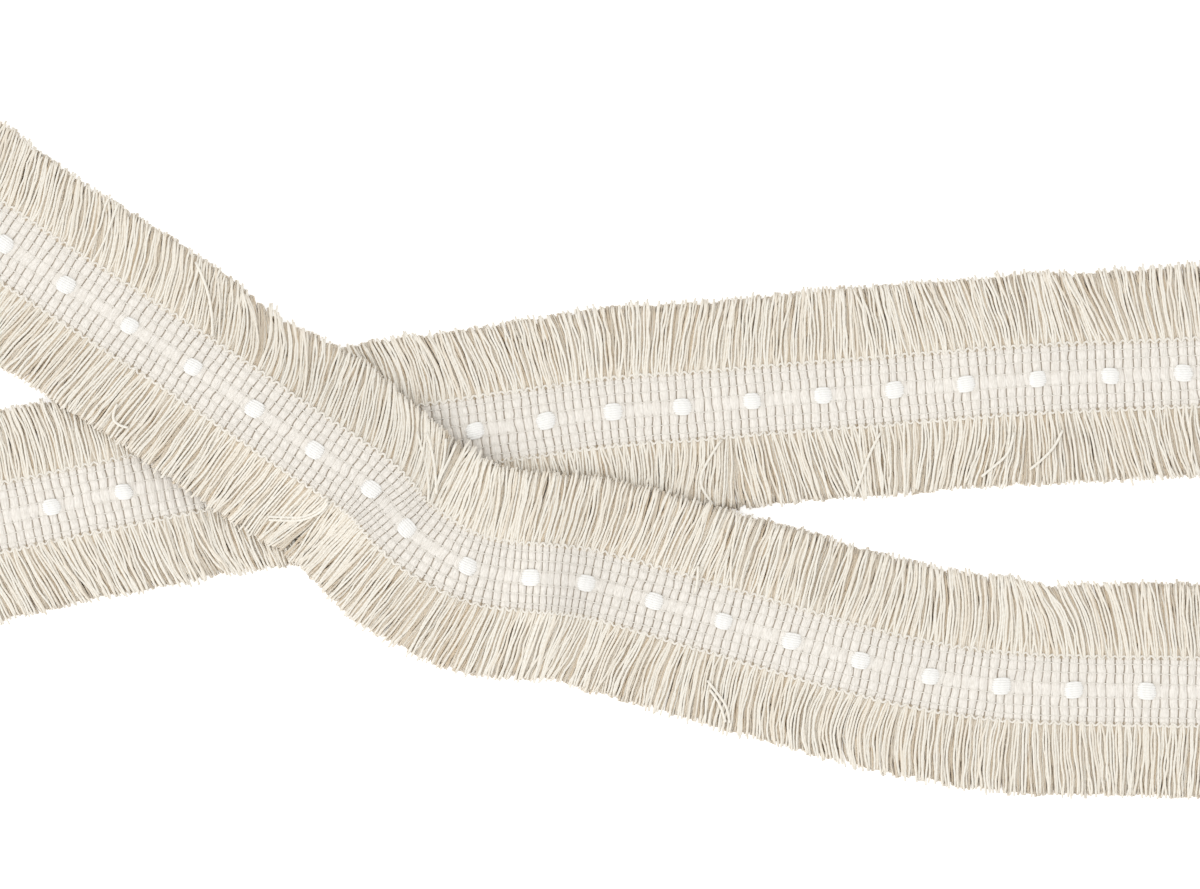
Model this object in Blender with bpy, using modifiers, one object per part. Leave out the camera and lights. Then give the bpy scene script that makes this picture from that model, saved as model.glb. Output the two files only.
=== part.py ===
"""A cut length of dot fringe trim lying on a flat surface.

A ribbed woven tape carries a row of raised dots along its middle and a cut fringe on both edges.
The length comes in at one end, turns round in a flat loop and crosses over its own first half.
Sizes are in millimetres here and are turned into metres when a mesh is made. Places along the trim
are counted in dots: dot 0 is the first one, and one dot is DOT_PITCH further on.
"""

import math
import random

import bmesh
import bpy
import numpy as np
from mathutils import Matrix, Vector

MM = 0.001
GAP = 0.3

DOT_PITCH = 20.0
DOT_COUNT = 49
FIRST_END = -0.6
LAST_END = 49.1

TAPE_WIDTH = 18.3
TAPE_THICK = 1.4
DOT_LONG = 4.9
DOT_WIDE = 4.5
DOT_HIGH = 0.9

FRINGE_THICK = 1.1
STRIP_WIDTH = 1.6
LOCKS_PER_EDGE = 149
INNER, OUTER = -1, 1
SEEDS = {INNER: 3, OUTER: 4}
# Each edge's comb is parted on both bends of the loop and past the crossing: the first locks of the parts.
COMB_PARTS = (("start", 0), ("loop", 54), ("crossing", 96), ("end", 126))
LOCK_STEPS = 2
LOCK_SHARE_AT_ROOT = 0.88
LOCK_SHARE_AT_TIP = 0.68
# How unevenly the locks are cut and lie: a share of their length, and degrees.
LENGTH_SPREAD = 0.035
LEAN_SPREAD = 1.2
# How soon a lock comes down from a wave in the tape: a higher power is sooner.
DROOP = 1.5

# The middle of the whole outline, which becomes the origin, in the coordinates of the two tables below.
CENTRE = (1.0, -0.6)
# The middle of the tape seen from above, where each strand lies: dot, x, y.
UNDER_STRAND = (
    (-0.6, 233.9, 16.8),
    (0.0, 221.9, 16.1),
    (2.0, 181.4, 14.4),
    (4.0, 141.7, 11.4),
    (6.0, 102.2, 8.3),
    (7.0, 82.8, 6.7),
    (8.0, 63.6, 5.3),
    (9.0, 45.0, 2.8),
    (10.0, 25.3, 0.0),
    (13.0, -33.3, -9.4),
    (15.0, -72.2, -16.9),
    (16.0, -92.2, -21.1),
)
OVER_STRAND = (
    (30.0, -105.3, 51.9),
    (32.0, -70.6, 29.2),
    (34.0, -35.6, 6.1),
    (35.0, -18.9, -5.3),
    (36.0, -3.3, -16.1),
    (37.0, 6.4, -26.9),
    (38.0, 23.3, -37.5),
    (39.0, 40.8, -40.6),
    (40.0, 56.1, -42.2),
    (41.0, 75.0, -47.2),
    (43.0, 113.1, -58.3),
    (45.0, 151.7, -68.1),
    (46.0, 171.4, -70.8),
    (48.0, 211.7, -72.2),
    (49.1, 233.8, -72.6),
)
# The two strands' headings where the loop takes over, in degrees.
HEADING_INTO_LOOP = 192.0
HEADING_OUT_OF_LOOP = -33.5

# The waves in the trim: dot, height of the tape's underside over what it lies on.
WAVES = (
    (-0.6, 0.0),
    (1.2, 0.0),
    (2.5, 1.2),
    (4.0, 0.0),
    (18.5, 0.0),
    (20.5, 2.4),
    (22.5, 0.0),
    (25.0, 2.8),
    (27.0, 0.0),
    (32.2, 0.0),
    (34.8, 6.2),
    (36.0, 6.2),
    (37.7, 0.0),
    (38.4, 0.0),
    (39.3, 4.6),
    (40.3, 0.0),
    (42.3, 0.0),
    (43.6, 1.4),
    (45.2, 0.0),
    (49.1, 0.0),
)
# What the over strand rides on: distance from the middle of the under strand, height.
LIFT = (
    (0.0, 3.3),
    (11.0, 3.3),
    (17.0, 1.8),
    (31.5, 1.8),
    (44.0, 0.0),
)
# Which way the fringe points, in degrees seen from above: dot, inner edge, outer edge.
FRINGE_WAYS = (
    (-0.6, 100, 279),
    (0.0, 100, 279),
    (1.0, 113, 286),
    (2.0, 102, 270),
    (3.0, 112, 257),
    (4.0, 103, 271),
    (5.0, 89, 288),
    (6.0, 84, 282),
    (7.0, 81, 263),
    (8.0, 96, 268),
    (9.0, 110, 268),
    (10.0, 114, 275),
    (12.0, 105, 285),
    (15.0, 105, 291),
    (16.0, 107, 299),
    (17.0, 105, 292),
    (18.5, 102, 284),
    (28.9, -125, 62),
    (30.0, -130, 76),
    (31.0, -130, 81),
    (33.0, -127, 75),
    (34.0, -128, 88),
    (35.0, -127, 68),
    (36.0, -138, 83),
    (37.0, -132, 69),
    (38.0, -121, 79),
    (39.0, -107, 73),
    (40.0, -115, 78),
    (41.0, -118, 66),
    (42.0, -98, 69),
    (43.0, -100, 74),
    (44.0, -106, 72),
    (45.0, -95, 89),
    (46.0, -98, 91),
    (47.0, -86, 109),
    (48.0, -93, 98),
    (49.1, -93, 98),
)
# How long the fringe is, from the tape's edge to the tips: dot, inner edge, outer edge.
FRINGE_LENGTHS = (
    (-0.6, 21.2, 20.6),
    (8.0, 20.3, 20.3),
    (29.0, 20.3, 18.9),
    (34.0, 20.3, 19.0),
    (37.0, 20.3, 20.3),
    (43.0, 20.3, 21.6),
    (49.1, 20.3, 21.6),
)

TAPE_COLOUR = (0.80, 0.76, 0.70)
FRINGE_COLOUR = (0.76, 0.70, 0.60)
DOT_COLOUR = (0.92, 0.91, 0.88)


def unit(degrees):
    """The direction at this angle, seen from above."""
    return np.array([math.cos(math.radians(degrees)), math.sin(math.radians(degrees))])


def loop_rows():
    """Rows like the strands' for the loop between them: straight on, round an arc, straight on."""
    first, last = UNDER_STRAND[-1], OVER_STRAND[0]
    into, out = unit(HEADING_INTO_LOOP), unit(HEADING_OUT_OF_LOOP)
    start, end = np.array(first[1:]), np.array(last[1:])
    before, after = np.linalg.solve(np.column_stack([into, out]), end - start)
    crossing = start + into * before
    turn = math.radians(HEADING_INTO_LOOP - HEADING_OUT_OF_LOOP)
    tangent_share = 1 / math.tan((turn - math.pi) / 2)
    length = (last[0] - first[0]) * DOT_PITCH
    radius = (length - before - after) / (2 * tangent_share + turn)
    tangent = radius * tangent_share
    straight = tangent + before
    centre = crossing + into * tangent + unit(HEADING_INTO_LOOP - 90) * radius
    rows = []
    for dot in range(int(first[0]) + 1, int(last[0])):
        along = (dot - first[0]) * DOT_PITCH - straight
        if along < 0:
            place = crossing + into * (tangent + along)
        elif along > radius * turn:
            place = crossing - out * (tangent - (along - radius * turn))
        else:
            place = centre + unit(HEADING_INTO_LOOP + 90 - math.degrees(along / radius)) * radius
        rows.append((dot, *place))
    return rows


def route_rows():
    return np.array([*UNDER_STRAND, *loop_rows(), *OVER_STRAND])


def spline(knots, values, at):
    """A natural cubic spline through the values at the knots, read at each place."""
    step = np.diff(knots)
    system = np.eye(len(knots))
    target = np.zeros_like(values)
    for i in range(1, len(knots) - 1):
        system[i, i - 1 : i + 2] = step[i - 1], 2 * (step[i - 1] + step[i]), step[i]
        rise = (values[i + 1] - values[i]) / step[i]
        target[i] = 6 * (rise - (values[i] - values[i - 1]) / step[i - 1])
    bend = np.linalg.solve(system, target)
    i = np.clip(np.searchsorted(knots, at) - 1, 0, len(step) - 1)
    h = step[i][:, None]
    done = (at - knots[i])[:, None]
    left = (knots[i + 1] - at)[:, None]
    cubic = (bend[i] * left**3 + bend[i + 1] * done**3) / (6 * h)
    from_left = (values[i] / h - bend[i] * h / 6) * left
    from_right = (values[i + 1] / h - bend[i + 1] * h / 6) * done
    return cubic + from_left + from_right


def eased(rows, at):
    """The second column of a table at a place in its first, with a level crest or trough at each row."""
    knots, values = np.array(rows).T
    i = np.clip(np.searchsorted(knots, at) - 1, 0, len(knots) - 2)
    share = np.clip((at - knots[i]) / (knots[i + 1] - knots[i]), 0, 1)
    return values[i] + (values[i + 1] - values[i]) * share * share * (3 - 2 * share)


class Route:
    """Where the trim lies: its middle, its headings, and how high it rides."""

    # In dots: a short step for a heading, where the over strand begins, where the under strand ends,
    # and how finely the under strand's middle is followed.
    FINE_STEP = 0.02
    LOOP_MIDDLE = 23.0
    UNDER_LAST = 18.5
    UNDER_STEP = 0.1

    def __init__(self):
        rows = route_rows()
        self.knots, self.places = rows[:, 0], rows[:, 1:] - CENTRE
        under = np.arange(FIRST_END, self.UNDER_LAST, self.UNDER_STEP)
        self.under = self.middle(under)

    def middle(self, dots):
        return spline(self.knots, self.places, np.asarray(dots, float))

    def across(self, dots):
        """The level direction from the middle to the outer edge."""
        dots = np.asarray(dots, float)
        along = self.middle(dots + self.FINE_STEP) - self.middle(dots - self.FINE_STEP)
        along /= np.linalg.norm(along, axis=1)[:, None]
        return np.column_stack([-along[:, 1], along[:, 0]])

    def lift(self, dots, places):
        """How high the over strand has to be to clear the under strand at these places."""
        distance = np.linalg.norm(places[:, None, :] - self.under[None, :, :], axis=2).min(axis=1)
        knots, heights = np.array(LIFT).T
        return np.where(np.asarray(dots) > self.LOOP_MIDDLE, np.interp(distance, knots, heights), 0.0)

    def waves(self, dots):
        return eased(WAVES, np.asarray(dots, float))

    def on_tape(self, dots, across):
        """Points of the tape's underside, this far from its middle."""
        places = self.middle(dots) + self.across(dots) * np.asarray(across)[:, None]
        heights = np.hypot(self.waves(dots), self.lift(dots, places))
        return np.column_stack([places, heights])


def material(name, colour, roughness):
    made = bpy.data.materials.new(name)
    made.use_nodes = True
    shader = made.node_tree.nodes["Principled BSDF"]
    shader.inputs["Base Color"].default_value = (*colour, 1)
    shader.inputs["Roughness"].default_value = roughness
    shader.inputs["Metallic"].default_value = 0
    return made


def add_object(name, mesh, collection, finish):
    made = bpy.data.objects.new(name, mesh)
    made.data.materials.append(finish)
    collection.objects.link(made)
    return made


def thicken(piece, thickness):
    """Makes the open underside a solid, with its thickness on top."""
    shell = piece.modifiers.new("thickness", "SOLIDIFY")
    shell.thickness = thickness * MM
    shell.offset = 1


def flat_grid(columns, rows):
    """A grid of faces whose corners lie at whole numbers: column along X, row along Y."""
    mesh = bmesh.new()
    bmesh.ops.create_grid(mesh, x_segments=columns, y_segments=rows, size=1)
    for corner in mesh.verts:
        corner.co.x = round((corner.co.x + 1) / 2 * columns)
        corner.co.y = round((corner.co.y + 1) / 2 * rows)
    return mesh


def mesh_of(name, grid):
    mesh = bpy.data.meshes.new(name)
    bmesh.ops.recalc_face_normals(grid, faces=grid.faces)
    if sum(face.normal.z for face in grid.faces) < 0:
        bmesh.ops.reverse_faces(grid, faces=grid.faces)
    grid.to_mesh(mesh)
    grid.free()
    return mesh


def lock_dots(lock, share):
    """The place along the trim at this share of a lock's pitch."""
    return FIRST_END + (lock + share) * (LAST_END - FIRST_END) / LOCKS_PER_EDGE


def tape(route, collection):
    """The woven band: two strips of faces wide, with a column at every lock of the fringe."""
    grid = flat_grid(LOCKS_PER_EDGE, 2)
    columns = np.array([corner.co.x for corner in grid.verts])
    rows = np.array([corner.co.y for corner in grid.verts])
    points = route.on_tape(lock_dots(columns, 0.0), (rows - 1) * TAPE_WIDTH / 2)
    for corner, point in zip(grid.verts, points):
        corner.co = Vector(point) * MM
    finish = material("woven_tape", TAPE_COLOUR, 0.9)
    thicken(add_object("tape", mesh_of("tape", grid), collection, finish), TAPE_THICK)


def beside(rows, side, at):
    """A table's value for one edge of the tape, read between its rows."""
    knots, inner, outer = np.array(rows).T
    return np.interp(at, knots, inner if side == INNER else outer)


def lock_middles(route, side, seed):
    """Points down the middle of every lock, and of one more lock past each end: lock, step, x y z."""
    chance = random.Random(seed)
    locks = np.arange(-1, LOCKS_PER_EDGE + 1)
    dots = lock_dots(locks, 0.5)
    ways = beside(FRINGE_WAYS, side, dots)
    ways += [chance.uniform(-LEAN_SPREAD, LEAN_SPREAD) for _ in locks]
    lengths = beside(FRINGE_LENGTHS, side, dots)
    lengths *= [1 + chance.uniform(-LENGTH_SPREAD, LENGTH_SPREAD) for _ in locks]
    lengths -= GAP + STRIP_WIDTH
    root = route.middle(dots) + route.across(dots) * side * (TAPE_WIDTH / 2 + GAP + STRIP_WIDTH)
    pointing = np.column_stack([np.cos(np.radians(ways)), np.sin(np.radians(ways))])
    waves = route.waves(dots)
    level = np.sqrt(np.maximum(lengths**2 - waves**2, 0))
    middles = np.empty((len(locks), LOCK_STEPS + 1, 3))
    for step in range(LOCK_STEPS + 1):
        share = step / LOCK_STEPS
        places = root + pointing * (level * share)[:, None]
        heights = np.hypot(waves * (1 - share) ** DROOP, route.lift(dots, places))
        middles[:, step, :] = np.column_stack([places, heights])
    return middles


def fringe(name, route, side, locks, collection):
    """A comb: a narrow strip beside the tape's edge, and locks that come out of it and lie apart."""
    grid = flat_grid(2 * len(locks) - 1, 1 + LOCK_STEPS)
    gaps = [face for face in grid.faces if is_between_locks(face)]
    bmesh.ops.delete(grid, geom=gaps, context="FACES")
    middles = lock_middles(route, side, SEEDS[side])
    edge = side * (TAPE_WIDTH / 2 + GAP)
    for corner in grid.verts:
        column, right = divmod(round(corner.co.x), 2)
        lock = locks[column]
        row = round(corner.co.y)
        share = 0.5 + (right - 0.5) * LOCK_SHARE_AT_ROOT
        if row <= 1:
            dots = [lock_dots(lock, share)]
            point = route.on_tape(dots, [edge + side * STRIP_WIDTH * row])[0]
        else:
            step = row - 1
            taper = LOCK_SHARE_AT_ROOT + (LOCK_SHARE_AT_TIP - LOCK_SHARE_AT_ROOT) * step / LOCK_STEPS
            spacing = (middles[lock + 2, step] - middles[lock, step]) / 2
            point = middles[lock + 1, step] + spacing * (right - 0.5) * taper
            point[2] = max(point[2], 0)
        corner.co = Vector(point) * MM
    finish = material(name + "_yarn", FRINGE_COLOUR, 0.95)
    thicken(add_object(name, mesh_of(name, grid), collection, finish), FRINGE_THICK)


def is_between_locks(face):
    """True for a face beyond the strip that bridges two locks."""
    middle = face.calc_center_median()
    return middle.y > 1 and int(middle.x) % 2 == 1


def dot_mesh():
    """A low dome with a flat underside at the height zero."""
    dome = bmesh.new()
    bmesh.ops.create_uvsphere(dome, u_segments=8, v_segments=6, radius=1)
    everything = [*dome.verts, *dome.edges, *dome.faces]
    bmesh.ops.bisect_plane(dome, geom=everything, plane_co=(0, 0, 0), plane_no=(0, 0, 1), clear_inner=True)
    bmesh.ops.holes_fill(dome, edges=dome.edges)
    size = (DOT_LONG / 2 * MM, DOT_WIDE / 2 * MM, DOT_HIGH * MM)
    bmesh.ops.scale(dome, vec=size, verts=dome.verts)
    mesh = bpy.data.meshes.new("dot")
    dome.to_mesh(mesh)
    dome.free()
    mesh.shade_smooth()
    return mesh


def dots(route, collection):
    """One raised pad at every pitch, standing on the tape and turned with it."""
    reach = DOT_LONG / 2 / DOT_PITCH
    mesh = dot_mesh()
    mesh.materials.append(material("floated_yarn", DOT_COLOUR, 0.85))
    for number in range(DOT_COUNT):
        near = [number - reach, number, number + reach]
        behind, here, ahead = (Vector(p) for p in route.on_tape(near, [0, 0, 0]))
        along = (ahead - behind).normalized()
        across = Vector((*route.across([number])[0], 0))
        up = along.cross(across).normalized()
        turn = Matrix((along, up.cross(along), up)).transposed()
        pad = bpy.data.objects.new(f"dot_{number + 1:02d}", mesh)
        pad.location = (here + up * (TAPE_THICK + GAP)) * MM
        pad.rotation_euler = turn.to_euler()
        collection.objects.link(pad)


def main():
    for old in list(bpy.data.objects):
        bpy.data.objects.remove(old)
    collection = bpy.data.collections.new("dot_fringe_trim")
    bpy.context.scene.collection.children.link(collection)
    route = Route()
    tape(route, collection)
    last_locks = [first for _, first in COMB_PARTS[1:]] + [LOCKS_PER_EDGE]
    for edge, side in (("inner", INNER), ("outer", OUTER)):
        for (part, first), last in zip(COMB_PARTS, last_locks):
            fringe(f"fringe_{edge}_{part}", route, side, range(first, last), collection)
    dots(route, collection)


main()
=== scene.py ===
"""The looks of the dot fringe trim: ribbed tape, scalloped edge cords, floated dots and cut yarn.

Sizes are in millimetres and become metres when a mesh is made. Places along the trim are counted in
dots, as in the part's source: dot 0 is the first one, and one dot is DOT_PITCH further on. Every piece
is worked out on the same route as the solids that it replaces.
"""

import math
from typing import NamedTuple

import bpy
import numpy as np
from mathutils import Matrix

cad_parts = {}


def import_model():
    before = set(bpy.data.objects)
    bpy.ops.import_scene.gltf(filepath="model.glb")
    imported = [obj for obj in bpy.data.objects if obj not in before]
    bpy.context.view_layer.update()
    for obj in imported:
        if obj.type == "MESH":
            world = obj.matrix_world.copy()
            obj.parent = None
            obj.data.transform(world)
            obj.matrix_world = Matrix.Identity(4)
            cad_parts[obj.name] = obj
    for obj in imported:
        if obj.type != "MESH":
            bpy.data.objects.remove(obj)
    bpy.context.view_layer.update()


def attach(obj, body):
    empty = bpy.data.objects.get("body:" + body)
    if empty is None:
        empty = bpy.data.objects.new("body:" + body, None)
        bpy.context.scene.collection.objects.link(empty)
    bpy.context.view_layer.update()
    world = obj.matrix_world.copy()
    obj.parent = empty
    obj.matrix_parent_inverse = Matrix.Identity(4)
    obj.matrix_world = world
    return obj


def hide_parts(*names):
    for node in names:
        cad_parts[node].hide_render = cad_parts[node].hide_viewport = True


MM = 0.001

# The trim's sizes, as in its solids.
DOT_PITCH = 20.0
DOT_COUNT = 49
FIRST_END = -0.6
LAST_END = 49.1
TAPE_WIDTH = 18.3
TAPE_THICK = 1.4
DROOP = 1.5
INNER, OUTER = -1, 1

# The route, as in the source: dot, x, y.
CENTRE = (1.0, -0.6)
UNDER_STRAND = (
    (-0.6, 233.9, 16.8),
    (0.0, 221.9, 16.1),
    (2.0, 181.4, 14.4),
    (4.0, 141.7, 11.4),
    (6.0, 102.2, 8.3),
    (7.0, 82.8, 6.7),
    (8.0, 63.6, 5.3),
    (9.0, 45.0, 2.8),
    (10.0, 25.3, 0.0),
    (13.0, -33.3, -9.4),
    (15.0, -72.2, -16.9),
    (16.0, -92.2, -21.1),
)
OVER_STRAND = (
    (30.0, -105.3, 51.9),
    (32.0, -70.6, 29.2),
    (34.0, -35.6, 6.1),
    (35.0, -18.9, -5.3),
    (36.0, -3.3, -16.1),
    (37.0, 6.4, -26.9),
    (38.0, 23.3, -37.5),
    (39.0, 40.8, -40.6),
    (40.0, 56.1, -42.2),
    (41.0, 75.0, -47.2),
    (43.0, 113.1, -58.3),
    (45.0, 151.7, -68.1),
    (46.0, 171.4, -70.8),
    (48.0, 211.7, -72.2),
    (49.1, 233.8, -72.6),
)
HEADING_INTO_LOOP = 192.0
HEADING_OUT_OF_LOOP = -33.5
# The waves, as in the source: dot, height of the tape's underside.
WAVES = (
    (-0.6, 0.0),
    (1.2, 0.0),
    (2.5, 1.2),
    (4.0, 0.0),
    (18.5, 0.0),
    (20.5, 2.4),
    (22.5, 0.0),
    (25.0, 2.8),
    (27.0, 0.0),
    (32.2, 0.0),
    (34.8, 6.2),
    (36.0, 6.2),
    (37.7, 0.0),
    (38.4, 0.0),
    (39.3, 4.6),
    (40.3, 0.0),
    (42.3, 0.0),
    (43.6, 1.4),
    (45.2, 0.0),
    (49.1, 0.0),
)
# What the over strand rides on: distance from the middle of the under strand, height.
LIFT = (
    (0.0, 3.3),
    (11.0, 3.3),
    (17.0, 1.8),
    (31.5, 1.8),
    (44.0, 0.0),
)
# Which way the yarn lies, in degrees seen from above: dot, near the tape, halfway, at the tips.
INNER_WAYS = (
    (-0.6, 101, 101, 96),
    (0, 101, 101, 96),
    (1, 117, 114, 108),
    (2, 98, 103, 103),
    (3, 106, 115, 113),
    (4, 99, 104, 104),
    (5, 92, 89, 88),
    (6, 85, 84, 84),
    (7, 81, 81, 81),
    (8, 92, 95, 100),
    (9, 106, 109, 114),
    (10, 105, 116, 115),
    (11, 90, 107, 121),
    (12, 103, 106, 108),
    (16, 102, 107, 114),
    (18.5, 102, 102, 102),
    (28.9, -125, -125, -125),
    (31, -129, -131, -132),
    (32, -131, -128, -121),
    (33, -125, -127, -129),
    (34, -126, -128, -129),
    (35, -129, -127, -123),
    (36, -135, -138, -142),
    (37, -132, -132, -133),
    (38, -120, -121, -121),
    (39, -109, -106, -109),
    (40, -113, -115, -117),
    (41, -118, -119, -109),
    (42, -108, -97, -94),
    (43, -106, -101, -89),
    (44, -118, -106, -80),
    (45, -101, -95, -86),
    (46, -102, -98, -93),
    (47, -88, -84, -91),
    (48, -93, -96, -92),
    (49.1, -93, -96, -92),
)
OUTER_WAYS = (
    (-0.6, 272, 279, 286),
    (0, 272, 279, 286),
    (1, 286, 285, 288),
    (2, 274, 268, 267),
    (3, 269, 257, 257),
    (4, 278, 270, 267),
    (5, 285, 288, 290),
    (6, 282, 283, 282),
    (7, 269, 260, 266),
    (8, 283, 276, 260),
    (10, 275, 275, 275),
    (12, 285, 285, 285),
    (14, 284, 289, 303),
    (15, 290, 291, 300),
    (16, 298, 302, 303),
    (18.5, 284, 284, 284),
    (28.9, 62, 62, 62),
    (30, 70, 77, 77),
    (31, 74, 81, 86),
    (32, 69, 75, 81),
    (33, 74, 75, 78),
    (34, 71, 92, 108),
    (35, 68, 68, 70),
    (36, 75, 83, 96),
    (37, 66, 69, 69),
    (38, 76, 78, 82),
    (39, 74, 73, 76),
    (40, 67, 79, 83),
    (41, 66, 65, 72),
    (42, 74, 69, 65),
    (43, 78, 74, 73),
    (44, 68, 70, 78),
    (45, 84, 87, 96),
    (46, 81, 91, 99),
    (47, 103, 111, 119),
    (48, 96, 98, 97),
    (49.1, 96, 98, 97),
)
# From the tape's edge to the tips: dot, inner edge, outer edge.
FRINGE_LENGTHS = (
    (-0.6, 21.2, 20.6),
    (8.0, 20.3, 20.3),
    (29.0, 20.3, 18.9),
    (34.0, 20.3, 19.0),
    (37.0, 20.3, 20.3),
    (43.0, 20.3, 21.6),
    (49.1, 20.3, 21.6),
)

# The ribs of the tape, in millimetres unless named otherwise.
RIBS_PER_DOT = 8
RIB_PITCH = DOT_PITCH / RIBS_PER_DOT
FIRST_GROOVE = -0.5625
RIB_COUNT = 397
# Where the samples of one rib lie, as shares of it, and how deep the groove is there.
RIB_SAMPLES = ((0.0, 1.0), (0.08, 0.4), (0.18, 0.06), (0.5, 0.0), (0.82, 0.06), (0.92, 0.4))
DEPTH_AT_CUT = 0.3
TAPE_ROWS_TOP = (-9.0, -8.5, -7.7, -6.7, -5.6, -4.4, -3.2, -2.2, -1.1, 0.0)
TAPE_ROWS_UNDER = (8.8, 4.4, 0.0, -4.4, -8.8)
# A rib's crown starts at its foot. All heights are over the underside of the tape's solid.
RIB_FOOT = TAPE_THICK - 0.15
RIB_CROWN = 0.12
CROWN_POWER = 0.5
GROOVE_DEPTH = 0.45
UNDERSIDE = 0.12
GROOVE_DEPTH_UNDER = 0.25
# Near its edge the tape gets thinner: by how much, from where, and over what width.
EDGE_THINNER = 0.35
EDGE_THIN_FROM = 7.4
EDGE_THIN_WIDTH = 1.8
# The edge follows the cord's arches: how much of them, from where, and over what width.
EDGE_SCALLOP = 0.85
EDGE_SCALLOP_FROM = 7.7
EDGE_SCALLOP_WIDTH = 1.3
# The band between dots, where the grooves are shallow: its half width, how sharply it ends, and how
# open its grooves are. All grooves are GROOVE_OPEN times as open, on average.
CENTRE_BAND = 1.45
CENTRE_BAND_POWER = 8
CENTRE_BAND_OPEN = 0.55
GROOVE_OPEN = 0.85
# How far apart two grooves read the random lines, so that no two look the same.
SHIFT_APART = 37.0
OPEN_APART = 53.0

# The warp threads: how far from the middle they run, how deep they sink into the ribs, and how much
# deeper into a groove. A thread's seed is its place in hundredths, kept below WARP_SEEDS.
WARP_ROWS = (7.35, 4.75, 1.95)
WARP_RADIUS = 0.2
WARP_FLATNESS = 0.8
WARP_SIDES = 4
WARP_STEPS = 4
WARP_SUNK = 0.09
WARP_DIP = 0.06
WARP_SEEDS = 997
# How far on both sides a warp thread seems to draw the ribs down, by a bump and painted shade, and how
# much
# at each dot, from 0 to 1: the tape is most crumpled where it bends.
PINCH_REACH = 0.7
PINCH = (
    (-0.6, 0.3),
    (6.0, 0.3),
    (10.0, 0.9),
    (14.0, 0.5),
    (30.0, 0.4),
    (34.0, 1.0),
    (40.5, 1.0),
    (43.0, 0.3),
    (49.1, 0.4),
)

# The edge cord: how far out its valleys and its arches lie from the tape's middle.
CORD_VALLEY = 8.75
CORD_ARCH = 9.75
CORD_ARCH_POWER = 0.75
CORD_RADIUS = 0.34
CORD_STEPS = 8
CORD_SIDES = 6
CORD_HEIGHT = TAPE_THICK - 0.32
CORD_VALLEY_RISE = 0.12

# The dots. An even spread is the most that a value strays to either side.
DOT_LONG = 5.0
DOT_WIDE = 4.7
DOT_HIGH = 1.0
DOT_BASE = TAPE_THICK - 0.35
DOT_LEAN_SPREAD = 0.12
DOT_SIZE_SPREAD = 0.05
DOT_SEED = 12
SLOPE_STEP = 0.1
FLOATS_PER_DOT = 7
FLOAT_RADIUS = 0.46
FLOAT_STEPS = 10
FLOAT_SIDES = 8
FLOAT_LENGTH_SPREAD = 0.15
# How much less a dot has at its outermost floats, or a float at its ends.
OUTER_FLOAT_SHORTER = 0.22
OUTER_FLOAT_LOWER = 0.38
FLOAT_END_CLOSER = 0.12
FLOAT_END_THINNER = 0.35
FLOAT_ROUNDNESS = 3.2

# The two fringes: word, side, seed. Each lies on four solids, one after another along the trim.
FRINGES = (("inner", INNER, 100), ("outer", OUTER, 200))
FRINGE_PARTS = ("start", "loop", "crossing", "end")

# How the yarn of the fringe lies, with angles in degrees. It starts inside the tape's edge, and partly
# square to it.
ROOT_INSIDE = 0.5
ROOT_SQUARE = 0.6
# Where along a strand, as shares of its length, its way is set.
WAY_STOPS = (0.0, 0.14, 0.5, 0.82, 1.0)
# How much of its lean a strand has at its root, and the shares of its length by which a bunch has
# spread and a strand has risen to its layer.
LEAN_AT_ROOT = 0.35
SPREAD_BY = 0.22
RISE_BY = 0.25
# A strand's height at its root: a fixed part, and a share of its height further out.
ROOT_HEIGHT = 0.48
ROOT_LAYERING = 0.35
# The fewest and the most waves in a strand, and how far they go to either side.
SWAY_WAVES = (1.2, 2.6)
SWAY_SIZES = (0.08, 0.36)
# How single strands differ: even spreads for places and radii, normal ones for the rest.
ASIDE_SPREAD = 0.28
LEAN_SPREAD = 1.0
CURL_SPREAD = 2.0
LENGTH_SPREAD = 0.45
RADIUS_SPREAD = 0.12
# A few strands stray: how many, how much further they lean, and how far they lie above the rest.
STRAY_SHARE = 0.03
STRAY_LEAN = 7.0
STRAY_ABOVE = 0.15
# How much of its radius a strand has at its tip, how far apart the twists of two strands may start,
# and what is added to a layer's seed for the paths of its strands.
TIP_RADIUS = 0.8
TWIST_STARTS = 50
PATHS_SEED = 3
# How many ribs on both sides tell how far the fringe fans out, and the most that its base widens.
FAN_RIBS = 0.7
FAN_MOST = 2.0
# Where the yarn parts and leaves a gap: the edge, the dot number, and how many degrees it leans away.
PARTINGS = (
    (OUTER, 37.02, 13.0),
    (OUTER, 33.66, 8.0),
    (OUTER, 6.35, 9.0),
    (OUTER, 2.2, 6.0),
    (OUTER, 14.2, 7.0),
    (INNER, 0.75, 3.0),
    (INNER, 35.6, 12.0),
    (INNER, 40.2, 5.0),
)
# Over how many ribs a parting fades, and how strong it is in a fully gathered bunch.
PARTING_WIDTH = 3.5
PARTING_IN_BUNCH = 2.0
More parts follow.
